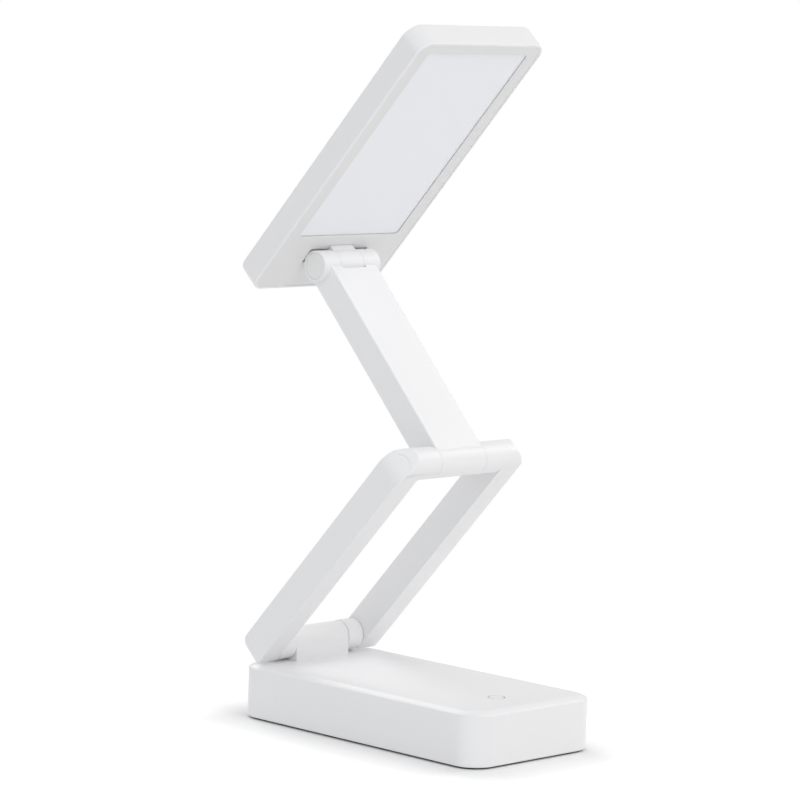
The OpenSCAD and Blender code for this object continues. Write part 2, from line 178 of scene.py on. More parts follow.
def work_in(obj, operation, tools):
    """Adds or cuts away tools, which are used up."""
    for tool in tools:
        modifier = obj.modifiers.new("joint", "BOOLEAN")
        modifier.operation = operation
        modifier.solver = "EXACT"
        modifier.object = tool
        alone(obj)
        bpy.ops.object.modifier_apply(modifier=modifier.name)
        bpy.data.meshes.remove(tool.data)


def weld_on(obj, *tools):
    """Makes the tools part of the piece, one after another."""
    work_in(obj, "UNION", tools)


def cut_away(obj, *tools):
    """Takes the shapes of the tools out of the piece, one after another."""
    work_in(obj, "DIFFERENCE", tools)


def gathered(pieces):
    """Joins loose pieces into one object."""
    alone(pieces[0])
    for piece in pieces:
        piece.select_set(True)
    bpy.ops.object.join()
    return pieces[0]


def clean_flats(obj, gap_mm=0.001):
    """Closes hairline gaps and removes the lines that a joint leaves in flat faces."""
    pick(obj, "FACE", whole)
    bpy.ops.mesh.remove_doubles(threshold=gap_mm * MM)
    bpy.ops.mesh.dissolve_limited(angle_limit=math.radians(0.2), delimit=set())
    close()


def hollow_from_below(obj, wall, depth):
    """Opens a closed block from below, leaving a wall round a cavity."""
    pick(obj, "FACE", lambda middle, normal: normal.z < -0.9)
    bpy.ops.mesh.inset(thickness=wall * MM)
    bpy.ops.mesh.extrude_region_move(TRANSFORM_OT_translate={"value": (0, 0, depth * MM)})
    close()


def dish(obj, test, rings):
    """Sinks a face in rings of a width and a drop."""
    pick(obj, "FACE", test)
    for width, drop in rings:
        bpy.ops.mesh.inset(thickness=width * MM, depth=drop * MM)
    close()


def turn_over(obj):
    """Mirrors a piece to the other side of the lamp."""
    alone(obj)
    obj.scale = (-1, 1, 1)
    bpy.ops.object.transform_apply(location=True, rotation=True, scale=True)
    pick(obj, "FACE", whole)
    bpy.ops.mesh.normals_make_consistent(inside=False)
    close()


def finished(obj, place, material, body, slot, *nodes, angle=32):
    """Leans a piece into place, smooths it and says what it is made of and stands for."""
    alone(obj)
    obj.matrix_world = place
    bpy.ops.object.transform_apply(location=True, rotation=True, scale=True)
    bpy.ops.object.shade_smooth_by_angle(angle=math.radians(angle))
    even = obj.modifiers.new("even shading", "WEIGHTED_NORMAL")
    even.keep_sharp = True
    bpy.ops.object.modifier_apply(modifier=even.name)
    obj.data.materials.clear()
    obj.data.materials.append(material)
    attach(obj, body)
    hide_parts(*nodes)


# ------------------------------------------------------------------ finishes

def linear(hex_colour):
    """sRGB hex to the linear values that the shaders take."""
    parts = [int(hex_colour[i:i + 2], 16) / 255 for i in (1, 3, 5)]
    return tuple(c / 12.92 if c <= 0.04045 else ((c + 0.055) / 1.055) ** 2.4
                 for c in parts) + (1.0,)


def add_node(tree, kind, settings=None, links=None):
    """Adds one node, sets its sockets and wires its inputs."""
    node = tree.nodes.new(kind)
    for key, value in (settings or {}).items():
        if isinstance(key, str) and hasattr(node, key):
            setattr(node, key, value)
        else:
            node.inputs[key].default_value = value
    for key, source in (links or {}).items():
        tree.links.new(source, node.inputs[key])
    return node


def new_finish(name):
    material = bpy.data.materials.new(name)
    material.use_nodes = True
    material.node_tree.nodes.clear()
    return material, material.node_tree


CLOUD_MM = 40  # how far apart a moulding's duller and shinier areas lie


def moulded_plastic(name, colour, low, high, grain_mm=0.35, depth_mm=0.012, ior=1.5):
    """Plastic from a spark-eroded tool: a satin skin whose fine grain breaks up highlights.

    Its roughness drifts between low and high in wide soft areas, as it does where the plastic
    cooled unevenly. The real grain is about 0.05 mm, too fine to show, and is drawn coarser.
    """
    material, tree = new_finish(name)
    place = add_node(tree, "ShaderNodeTexCoord").outputs["Object"]
    grain = add_node(tree, "ShaderNodeTexNoise",
                     {"Scale": 1 / (grain_mm * MM), "Detail": 2.0, "Roughness": 0.55},
                     {"Vector": place})
    cloud = add_node(tree, "ShaderNodeTexNoise", {"Scale": 1 / (CLOUD_MM * MM), "Detail": 2.0},
                     {"Vector": place})
    tone = add_node(tree, "ShaderNodeMapRange",
                    {"From Min": 0.3, "From Max": 0.7, "To Min": low, "To Max": high},
                    {"Value": cloud.outputs["Fac"]})
    bump = add_node(tree, "ShaderNodeBump", {"Strength": 0.35, "Distance": depth_mm * MM},
                    {"Height": grain.outputs["Fac"]})
    shader = add_node(tree, "ShaderNodeBsdfPrincipled",
                      {"Base Color": linear(colour), "IOR": ior},
                      {"Roughness": tone.outputs["Result"], "Normal": bump.outputs["Normal"]})
    add_node(tree, "ShaderNodeOutputMaterial", {}, {"Surface": shader.outputs["BSDF"]})
    return material


# ABS, injection moulded and left as it comes from the tool: a clean cool white with a soft
# sheen and wide, weak highlights.
white_abs = moulded_plastic("white satin ABS", "#F0F0F1", 0.36, 0.42)
# The same ABS from tools of their own, whose skin is a little duller, so that covers and bezel
# part from the housings.
# The covers are a little greyer; the bezel is darker again, which is painted shade standing for
# the head's shaded underside.
cover_abs = moulded_plastic("white satin ABS, cover tool", "#ECECEC", 0.42, 0.50)
bezel_abs_painted_shade = moulded_plastic("white satin ABS, bezel tool, painted shade", "#E8E8E8", 0.40, 0.48)
# Opal acrylic sheet with a frosted face: milky, bluish white, with hardly a highlight.
opal_sheet = moulded_plastic("opal acrylic diffuser", "#F5F6FA", 0.52, 0.58, grain_mm=0.6)
# Silicone rubber, pressed in a sand-blasted mould: dark and dull, a soft line under the base.
rubber = moulded_plastic("grey silicone rubber", "#3A3B3D", 0.75, 0.85, grain_mm=0.8,
                         depth_mm=0.03, ior=1.42)
# Nylon, moulded: near black with a low sheen.
black_nylon = moulded_plastic("black moulded nylon", "#1C1D1F", 0.5, 0.6, ior=1.53)
# PVC sleeve, shrunk on the cells: smooth and shiny, with slow ripples.
sleeve = moulded_plastic("blue shrink sleeve", "#2C5F9E", 0.25, 0.32, grain_mm=3)
# Solder mask over glass laminate: glossy, with the weave just felt under it.
laminate = moulded_plastic("green solder mask", "#1F6B43", 0.3, 0.4, grain_mm=1.2)
led_laminate = moulded_plastic("white solder mask", "#EDEDE8", 0.35, 0.45, grain_mm=1.2)
# Silicone loaded with phosphor: pale yellow, slightly grainy.
phosphor = moulded_plastic("phosphor fill", "#F2D96B", 0.4, 0.5, grain_mm=0.5)
# Polyester reflector film: the whitest piece, and quite dull.
film = moulded_plastic("white reflector film", "#F8F8F8", 0.6, 0.7, grain_mm=1)


def bare_metal(name, colour, low, high, grain_mm):
    """Turned or pressed metal left bare: tool marks, too fine to see as lines, vary its gloss."""
    material, tree = new_finish(name)
    place = add_node(tree, "ShaderNodeTexCoord").outputs["Object"]
    marks = add_node(tree, "ShaderNodeTexNoise", {"Scale": 1 / (grain_mm * MM), "Detail": 3.0},
                     {"Vector": place})
    tone = add_node(tree, "ShaderNodeMapRange", {"To Min": low, "To Max": high},
                    {"Value": marks.outputs["Fac"]})
    shader = add_node(tree, "ShaderNodeBsdfPrincipled",
                      {"Base Color": linear(colour), "Metallic": 1.0},
                      {"Roughness": tone.outputs["Result"]})
    add_node(tree, "ShaderNodeOutputMaterial", {}, {"Surface": shader.outputs["BSDF"]})
    return material


# Steel, zinc plated: bright, cool and slightly clouded.
steel = bare_metal("zinc-plated steel", "#C4C6C9", 0.22, 0.38, 0.4)
# Rolled steel plate with its scale on: dark, dull and blotchy.
iron = bare_metal("blackened steel plate", "#4A4C50", 0.45, 0.65, 0.8)


DOTS_MM = 1.5


def clear_acrylic():
    """Cast acrylic for the light guide: clear, and frosted by its printed dots.

    The dots are drawn 1.5 mm apart, coarser than the real ones, which are too fine to see.
    """
    material, tree = new_finish("clear cast acrylic")
    place = add_node(tree, "ShaderNodeTexCoord").outputs["Object"]
    dots = add_node(tree, "ShaderNodeTexVoronoi", {"Scale": 1 / (DOTS_MM * MM)}, {"Vector": place})
    tone = add_node(tree, "ShaderNodeMapRange", {"To Min": 0.05, "To Max": 0.2},
                    {"Value": dots.outputs["Distance"]})
    shader = add_node(tree, "ShaderNodeBsdfPrincipled",
                      {"Base Color": linear("#F4F8FA"), "IOR": 1.49,
                       "Transmission Weight": 0.85}, {"Roughness": tone.outputs["Result"]})
    add_node(tree, "ShaderNodeOutputMaterial", {}, {"Surface": shader.outputs["BSDF"]})
    return material


acrylic = clear_acrylic()

# Finishes of the pieces that keep the shape they have. Fasteners, axles and washers are of
# steel, and the pieces that are modelled below bring their own finish.
NODE_FINISH = {
    "antislip_pad": rubber, "base_bottom_cover": cover_abs, "counterweight": iron,
    "battery_tray": black_nylon, "battery_cells": sleeve, "main_board": laminate,
    "button_board": laminate, "tact_switch": black_nylon, "light_guide": acrylic,
    "reflector_sheet": film, "led_boards": led_laminate, "led_chips": phosphor,
    "diffuser": opal_sheet,
}
for node_name, node_object in frame["nodes"].items():
    finish = NODE_FINISH.get(node_name)
    if finish is None:
        slot_name = next(s["material_slot"] for s in frame["record"]["subparts"]
                         if s["node"] == node_name)
        finish = steel if slot_name == "bright_steel" else white_abs
    node_object.data.materials.clear()
    node_object.data.materials.append(finish)


# ------------------------------------------------------------------ base

FINE = 0.12  # the rounding of edges at a seam, just enough to catch the light
BASE_SIDE, BASE_END, BASE_CORNER = 49.25, 95, 14.8
UNDERSIDE, SHOULDER, DECK = 1, 29.5, 31.5
COVER_SCREWS = [(39.5, -82), (41.5, 20), (39.5, 82), (-39.5, -82), (-41.5, 20), (-39.5, 82)]
BOARD_SCREWS = [(x, y) for x in (-25, 25) for y in (42, 74)]
BUTTON = (-3.5, -66.7)
SWITCH_SCREWS = [(BUTTON[0] - 12, BUTTON[1]), (BUTTON[0] + 10, BUTTON[1])]
SADDLE_SCREWS = [(x, y) for x in (-14, 14) for y in (79.6, 89)]
SADDLE_PEGS = [(-7, 84), (7, 84)]


def base_housing():
    shell = block("base_housing", (-BASE_SIDE, -BASE_END, UNDERSIDE),
                  (BASE_SIDE, BASE_END, SHOULDER))
    round_edges(shell, BASE_CORNER, 14, upright)
    # the sloped top edge, from the shoulder up to the deck
    pick(shell, "FACE", lambda middle, normal: normal.z > 0.9)
    bpy.ops.mesh.inset(thickness=4 * MM, depth=2 * MM)
    close()
    hollow_from_below(shell, 1.4, 28.3)
    round_edges(shell, 1.6, 5, level(DECK), 10)
    round_edges(shell, 0.8, 4, level(SHOULDER), 10)
    round_edges(shell, 1.1, 5, lambda a, b: level(UNDERSIDE)(a, b)
                and min(outside_wall(a), outside_wall(b)) > -0.1)
    posts = [drum("post", 3.6, 3.2, 30, p, "Z", 32) for p in COVER_SCREWS]
    posts += [drum("post", 2.8, 11.6, 30, p, "Z", 32) for p in BOARD_SCREWS]
    posts += [drum("post", 2.4, 21, 30, p, "Z", 32) for p in SWITCH_SCREWS]
    posts += [drum("sleeve", 7.4, 28.3, 30, BUTTON, "Z", 48)]
    weld_on(shell, gathered(posts))
    holes = [drum("hole", 1.3, 2, 14.2, p, "Z", 24) for p in COVER_SCREWS]
    holes += [drum("hole", 1, 10, 18.6, p, "Z", 24) for p in BOARD_SCREWS]
    holes += [drum("hole", 0.9, 20, 26, p, "Z", 24) for p in SWITCH_SCREWS]
    holes += [drum("hole", 1.6, 25, 35, p, "Z", 24) for p in SADDLE_SCREWS]
    holes += [drum("hole", 2.6, 25, 35, p, "Z", 32) for p in SADDLE_PEGS]
    holes += [drum("hole", 5.0, 20, 40, BUTTON, "Z", 64)]
    # mouth of the charging socket, in the back wall
    mouth = block("mouth", (-5.3, 92, 11.9), (5.3, 97, 15.9))
    round_edges(mouth, 1.99, 10, lambda a, b: cross(a, b, 1))
    cut_away(shell, gathered(holes + [mouth]))
    clean_flats(shell)
    round_edges(shell, FINE, 2, lambda a, b: level(DECK)(a, b)
                and math.dist(a.xy, BUTTON) < 6)
    round_edges(shell, 0.3, 3, lambda a, b: on(a.y, BASE_END) and on(b.y, BASE_END)
                and abs(a.x) < 6 and 11 < a.z < 17)
    finished(shell, ON_DESK, white_abs, "base", "white_plastic", "base_shell")


def outside_wall(p):
    """How far a point lies outside the base's upright walls, in mm; negative inside."""
    dx, dy = abs(p.x) - (BASE_SIDE - BASE_CORNER), abs(p.y) - (BASE_END - BASE_CORNER)
    if dx > 0 and dy > 0:
        return math.hypot(dx, dy) - BASE_CORNER
    return max(dx, dy) - BASE_CORNER


def running_bore(reach, centre=(0, 0)):
    """The tool for a hole in which an axle turns."""
    return drum("bore", 3.05, -reach, reach, centre)


def washer_seat(x, centre=(0, 0)):
    """The tool that sinks a friction washer into the end face at x."""
    return drum("washer_seat", 6.4, x - 1.2, x + 1.2, centre)


def hinge_saddle():
    end = 20.75
    saddle = block("hinge_saddle_moulding", (-end, 76.35, DECK), (end, 91.4, SADDLE_AXIS[1]))
    weld_on(saddle, drum("knuckle", 8.65, -end, end, SADDLE_AXIS))
    clean_flats(saddle)
    round_edges(saddle, 0.4, 3, at_ends(end))
    cut_away(saddle, running_bore(30, SADDLE_AXIS))
    for side in (-1, 1):
        cut_away(saddle, washer_seat(side * end, SADDLE_AXIS))
        weld_on(saddle, drum("peg", 2.5, 29.7, 32, (side * 7, 84), "Z", 32))
    cut_away(saddle, gathered([drum("hole", 1.35, 30.5, 35.9, p, "Z", 24)
                               for p in SADDLE_SCREWS]))
    finished(saddle, ON_DESK, white_abs, "base", "white_plastic", "hinge_saddle")


def push_button():
    cap = drum("push_button", 4.15, 26.9, DECK, BUTTON, "Z", 64)
    round_edges(cap, 0.15, 2, level(DECK))
    dish(cap, lambda middle, normal: normal.z > 0.99,
         ((0.5, 0), (0.8, -0.06), (1.0, -0.05), (1.0, -0.02)))
    weld_on(cap, drum("collar", 5.8, 26.9, 28.2, BUTTON, "Z", 64),
            drum("stem", 1.8, 25.6, 27.2, BUTTON, "Z", 32))
    finished(cap, ON_DESK, white_abs, "button", "white_plastic", "button_cap")


# ------------------------------------------------------------------ lower frame

# The domed outer corner of the frame: a slanted flat, placed by its inner end, its run and
# its face, that turns into the leg's side with a wide round.
FLAT_START = Vector((34.9, -169, 0))
FLAT_RUN = Vector((0.7638, 0.6457, 0))
FLAT_FACE = Vector((0.6457, -0.7638, 0))
WIDE_ROUND, WIDE_RADIUS = (33, -152.25), 14
ARC_CENTRE = (13.4, -0.8)
# The plain outer corner is one sweep of this radius, centred on the leg's middle line.
SWEEP, SWEEP_RADIUS = (40, -162), 7.02
# A leg's inner and outer side, half its depth, and where its crossbar meets the arm.
LEG_INSIDE, LEG_OUTSIDE, LEG_HALF, BAR_END = 32.4, 47, 9, 17.82
CROSSBAR = (-FRAME_REACH, 0)


def on_flat(obj):
    """Turns a tool shaped at the origin so that it stands on the slanted flat."""
    alone(obj)
    turn = Matrix((FLAT_RUN, Vector((0, 0, 1)), FLAT_FACE)).transposed().to_4x4()
    obj.matrix_world = Matrix.Translation(FLAT_START * MM) @ turn
    bpy.ops.object.transform_apply(location=True, rotation=True, scale=True)
    return obj


def domed_corner(leg):
    slant = block("slant", (-3, -12, 0), (20, 12, 9))
    bend = block("bend", (42.03, -162.95, -12), (49, -152.25, 12))
    cut_away(bend, drum("wide_round", WIDE_RADIUS, -14, 14, WIDE_ROUND, "Z", 200))
    # parting line of the cap over the pivot: a fine arc on the flat
    line = drum("line", 7.6, -0.3, 1, ARC_CENTRE, "Z", 96)
    cut_away(line, drum("core", 7.42, -2, 2, ARC_CENTRE, "Z", 96),
             block("rest", (9.3, -12, -2), (24, 12, 2)))
    cut_away(leg, on_flat(slant), bend, on_flat(line))


def swept_corner(leg):
    corner = block("corner", (40.3, -171, -12), (49, -162, 12))
    cut_away(corner, drum("sweep", SWEEP_RADIUS, -14, 14, SWEEP, "Z", 120))
    cut_away(leg, corner)


def flared_end(radius):
    """The crossbar's flare into the leg: its inner half swings out in a quarter round."""
    flare = drum("flare", 8.98, 31.8 - radius, 32.38 - radius, CROSSBAR, "X", 80)
    steps = 8
    for step in range(1, steps + 2):  # the last step runs 1 mm into the leg
        before, after = ((min(k, steps) * math.pi / 2 / steps) for k in (step - 1, step))
        out = radius * (math.sin(after) - math.sin(before)) if step <= steps else 1
        swing = radius * (math.cos(before) - math.cos(after))
        pick(flare, "FACE", lambda middle, normal: normal.x > 0.99)
        bpy.ops.mesh.extrude_region_move(TRANSFORM_OT_translate={"value": (out * MM, 0, 0)})
        close()
        if swing:
            far = max(v.co.x for v in flare.data.vertices) / MM
            pick(flare, "VERT", lambda p: on(p.x, far, 0.005) and p.y > -159.9)
            bpy.ops.transform.translate(value=(0, swing * MM, 0))
            close()
    return flare


def frame_leg(name, node, mirrored):
    """One leg with its half of the crossbar; x runs outwards from the middle of the lamp."""
    leg = block(name, (LEG_INSIDE, -159.8, -LEG_HALF), (LEG_OUTSIDE, 4.5, LEG_HALF))
    round_edges(leg, 5, 10, lambda a, b: cross(a, b, 0) and on(a.y, 4.5) and a.z > 8)
    round_edges(leg, 1.6, 5, lambda a, b: cross(a, b, 0) and on(a.y, 4.5) and a.z < -8)
    weld_on(leg, drum("half_crossbar", LEG_HALF, BAR_END, LEG_OUTSIDE, CROSSBAR, "X", 80))
    if mirrored:
        weld_on(leg, flared_end(4))
        domed_corner(leg)
    else:
        swept_corner(leg)
    cut_away(leg, block("cavity", (34.4, -146, -7), (45, -10, 11)),
             block("rebate", (33.5, -149, 7.3), (45.9, -7, 12)),
             drum("axle_bore", 3.01, 31.4, 44, (0, 0), "X", 48),
             drum("axle_bore", 3.01, 10, 40, CROSSBAR, "X", 48))
    clean_flats(leg, 0.03)
    if not mirrored:
        # an extra line along the leg parts its broad faces from the sweep, for even shading
        pick(leg, "FACE", whole)
        bpy.ops.mesh.bisect(plane_co=(37.5 * MM, 0, 0), plane_no=(1, 0, 0))
        close()

    def outer_skin(p):
        if on(p.x, LEG_OUTSIDE):
            return True
        if mirrored:
            from_start = p - FLAT_START
            from_arc = math.dist((from_start.dot(FLAT_RUN), p.z), ARC_CENTRE)
            on_slant = on(from_start.dot(FLAT_FACE), 0, 0.02)
            on_bend = p.x > 42 and on(math.dist(p.xy, WIDE_ROUND), WIDE_RADIUS)
            return (on_slant and not on(from_arc, 7.51, 0.12)) or on_bend
        return p.x > 40.5 and p.y < -162.3 and on(math.dist(p.xy, SWEEP), 7.01)

    pick(leg, "EDGE", lambda a, b, turn: turn > 33 and outer_skin(a) and outer_skin(b))
    bevel_chosen(0.4, 2)
    round_edges(leg, 0.6, 3, lambda a, b: on(a.x, LEG_INSIDE) and on(b.x, LEG_INSIDE)
                and max(a.y, b.y) > -147 and math.hypot(a.y, a.z) > 4
                and (abs(a.z) > 8.9 or a.y > -3))
    round_edges(leg, FINE, 2, lambda a, b: on(a.x, BAR_END) and on(b.x, BAR_END)
                and math.dist(a.yz, CROSSBAR) > 4)
    if mirrored:
        turn_over(leg)
    finished(leg, ON_FRAME, white_abs, "lower_frame", "white_plastic", node)


def leg_cover_strips():
    strips = []
    for x in (39.7, -39.7):
        strip = block("leg_cover_strips", (x - 6.05, -148.85, 7.35),
                      (x + 6.05, -7.15, LEG_HALF))
        round_edges(strip, 0.3, 2, level(LEG_HALF))
        round_edges(strip, 0.8, 4, upright)
        strips.append(strip)
    finished(gathered(strips), ON_FRAME, cover_abs, "lower_frame", "cover_plastic",
             "leg_covers")


def collar_rings():
    rings = []
    for low, high in ((20.9, 32.1), (-32.1, -20.9)):
        radius = 9
        ring = drum("hinge_collar_rings", radius, low, high)
        round_edges(ring, 0.3, 3, lambda a, b: on(math.hypot(a.y, a.z), radius)
                    and on(a.x, b.x))
        cut_away(ring, drum("axle_bore", 3.02, low - 1, high + 1, (0, 0), "X", 48))
        rings.append(ring)
    finished(gathered(rings), ON_FRAME, white_abs, "lower_frame", "white_plastic",
             "hinge_collars")


# ------------------------------------------------------------------ upper arm

# The head's axis as the arm has it lying flat, the arm's half width and half depth, the end
# faces of its fork barrels, and the slot between them.
HEAD_AXIS = (ARM_REACH, HEAD_RISE)
ARM_SIDE, ARM_HALF = 17.7, 8.7
FORK_OUTSIDE, FORK_INSIDE, SLOT_SIDE = 22, 9.12, 9.16
CAP_SEAT = 7.6


def arm_moulding():
    arm = block("arm_moulding", (-ARM_SIDE, 2.2, -ARM_HALF), (ARM_SIDE, ARM_REACH, ARM_HALF))
    round_edges(arm, 6.5, 1, lambda a, b: cross(a, b, 0) and a.y > 138 and a.z > 8)
    round_edges(arm, 1.5, 4, lambda a, b: cross(a, b, 0) and a.y > 138 and a.z < -8)
    round_edges(arm, 0.8, 4, lambda a, b: at_ends(ARM_SIDE)(a, b) and max(a.y, b.y) > 10)
    cut_away(arm, drum("slot", 8.95, -SLOT_SIDE, SLOT_SIDE, HEAD_AXIS),
             block("slot_mouth", (-SLOT_SIDE, 135.5, -18), (SLOT_SIDE, 156, 23)),
             block("neck_seat", (-SLOT_SIDE, 130.85, 6.3), (SLOT_SIDE, 138.6, 12)))
    cut_away(arm, block("cavity", (-15.7, 13, -18), (15.7, 120.5, 6.7)),
             block("rebate", (-16.6, 10, -18), (16.6, 123.5, -7)))
    middle = drum("middle_barrel", 9, -ARM_SIDE, ARM_SIDE)
    round_edges(middle, FINE, 2, at_ends(ARM_SIDE))
    weld_on(arm, middle)
    for side in (-1, 1):
        low, high = sorted((side * FORK_INSIDE, side * FORK_OUTSIDE))
        fork = drum("fork_barrel", 8.8, low, high, HEAD_AXIS)
        round_edges(fork, 0.4, 4, at_ends(FORK_OUTSIDE))
        round_edges(fork, FINE, 2, at_ends(FORK_INSIDE))
        cut_away(fork, drum("cap_seat", CAP_SEAT, side * FORK_OUTSIDE - 1.6,
                            side * FORK_OUTSIDE + 1.6, HEAD_AXIS))
        weld_on(arm, fork)
        cut_away(arm, washer_seat(side * ARM_SIDE))
    cut_away(arm, running_bore(30), drum("bore", 3.01, -20, 20, HEAD_AXIS))
    clean_flats(arm)
    round_edges(arm, 0.2, 2, lambda a, b: at_ends(FORK_OUTSIDE)(a, b)
                and on(math.dist(a.yz, HEAD_AXIS), CAP_SEAT))
    finished(arm, ON_ARM, white_abs, "upper_arm", "white_plastic", "arm_shell", angle=12)


def arm_cover():
    cover = block("arm_cover", (-16.45, 10.15, -ARM_HALF), (16.45, 123.35, -7.05))
    round_edges(cover, 0.8, 4, upright)
    round_edges(cover, 0.3, 2, level(-ARM_HALF))
    finished(cover, ON_ARM, cover_abs, "upper_arm", "cover_plastic", "arm_back_cover")


def pivot_caps():
    caps = []
    face = 21.85
    for side in (-1, 1):
        low, high = sorted((side * 20.45, side * face))
        cap = drum("pivot_caps", 7.5, low, high, HEAD_AXIS)
        round_edges(cap, 0.25, 2, at_ends(face))
        dish(cap, lambda middle, normal: side * normal.x > 0.99,
             ((0.6, 0), (1.2, -0.12), (1.4, -0.12), (1.5, -0.06), (1.3, -0.02)))
        caps.append(cap)
    finished(gathered(caps), ON_ARM, cover_abs, "upper_arm", "cover_plastic", "barrel_caps")


# ------------------------------------------------------------------ head

KNUCKLE_SCREWS = [(x, y) for x in (-17, 17) for y in (-7.2, 12)]
HEAD_SIDE, HEAD_FRONT, HEAD_BACK = 49, -168.5, 27.5
RIM, HEAD_TOP, HEAD_CORNER = 8.2, 23.8, 9
BEZEL_FACE = 8.45
KNUCKLE_END = 9


def head_housing():
    shell = block("head_housing", (-HEAD_SIDE, HEAD_FRONT, RIM),
                  (HEAD_SIDE, HEAD_BACK, HEAD_TOP))
    round_edges(shell, HEAD_CORNER, 12, upright)
    hollow_from_below(shell, 1.7, 13.7)
    round_edges(shell, 1.8, 5, level(HEAD_TOP))

    def outer_rim(p):
        dx, dy = abs(p.x) - 40, abs(p.y + 70.5) - 89  # from the corner rounds' centres
        corner = dx > 0 and dy > 0 and math.hypot(dx, dy) > HEAD_CORNER - 0.1
        return on(p.z, RIM) and (max(dx, dy) > HEAD_CORNER - 0.1 or corner)

    round_edges(shell, 0.75, 4, lambda a, b: outer_rim(a) and outer_rim(b))
    inside = [drum("post", 2.9, 12.5, 22.5, p, "Z", 32) for p in KNUCKLE_SCREWS]
    inside += [block("rib", (x - 0.6, -167.5, 15.6), (x + 0.6, -21.5, 22.8))
               for x in (-34, -17, 0, 17, 34)]
    weld_on(shell, gathered(inside))
    cut_away(shell, gathered([drum("hole", 1.1, 11.2, 19.2, p, "Z", 24)
                              for p in KNUCKLE_SCREWS]))
    finished(shell, ON_HEAD, white_abs, "head", "white_plastic", "head_shell")


def head_bezel():
    bezel = block("bezel_plate", (-47.26, -166.76, BEZEL_FACE), (47.26, 25.76, 9.95))
    round_edges(bezel, 7, 10, upright)
    window = block("window", (-39, -160.5, 6), (39, -15.5, 12))
    round_edges(window, 2.5, 8, upright)
    # the rebate leaves a slit above the diffuser, which reads as a dark line
    rebate = block("rebate", (-40.7, -162.2, 9.05), (40.7, -13.8, 12))
    round_edges(rebate, 3.5, 8, upright)
    cut_away(bezel, window, rebate)
    trough = block("trough", (-22.35, -4.7, 6), (22.35, 6, 12))
    weld_on(trough, block("notch", (-9.2, -7.75, 6), (9.2, 0.25, 12)))
    cut_away(bezel, trough)
    clean_flats(bezel)
    round_edges(bezel, FINE, 2, level(BEZEL_FACE))
    # the bezel's darker white is painted shade for the shaded underside of the head
    finished(bezel, ON_HEAD, bezel_abs_painted_shade, "head", "cover_plastic", "head_bezel")


def head_knuckle():
    knuckle = drum("head_knuckle_moulding", 8.8, -KNUCKLE_END, KNUCKLE_END)
    round_edges(knuckle, FINE, 2, at_ends(KNUCKLE_END))
    neck = block("neck", (-8.9, -7.45, 0), (8.9, 4, 11.2))
    round_edges(neck, 0.5, 3, upright)
    weld_on(knuckle, neck)
    flange = block("flange", (-23, -10.5, 10.02), (23, 15.5, 12.32))
    round_edges(flange, 3, 6, upright)
    weld_on(knuckle, flange)
    cut_away(knuckle, running_bore(20))
    for side in (-1, 1):
        cut_away(knuckle, washer_seat(side * KNUCKLE_END))
    holes = [drum("hole", 1.25, 8, 14, p, "Z", 24) for p in KNUCKLE_SCREWS]
    seats = [drum("seat", 2.5, 8, 11.35, p, "Z", 32) for p in KNUCKLE_SCREWS]
    cut_away(knuckle, gathered(holes), gathered(seats))
    finished(knuckle, ON_HEAD, white_abs, "head", "white_plastic", "head_knuckle")


base_housing()
hinge_saddle()
push_button()
frame_leg("left_leg_moulding", "left_leg", True)
frame_leg("right_leg_moulding", "right_leg", False)
leg_cover_strips()
collar_rings()
arm_moulding()
arm_cover()
pivot_caps()
head_housing()
head_bezel()
head_knuckle()

# ------------------------------------------------------------------ studio

WHITE = (1, 1, 1, 1)
PAPER = (0.87, 0.87, 0.87, 1)
FLOOR_LIFT = 0.25
WORLD_LEVEL = 0.54


def larger(tree, one, other):
    """True where either of two kinds of ray is."""
    return add_node(tree, "ShaderNodeMath", {"operation": "MAXIMUM"}, {0: one, 1: other})


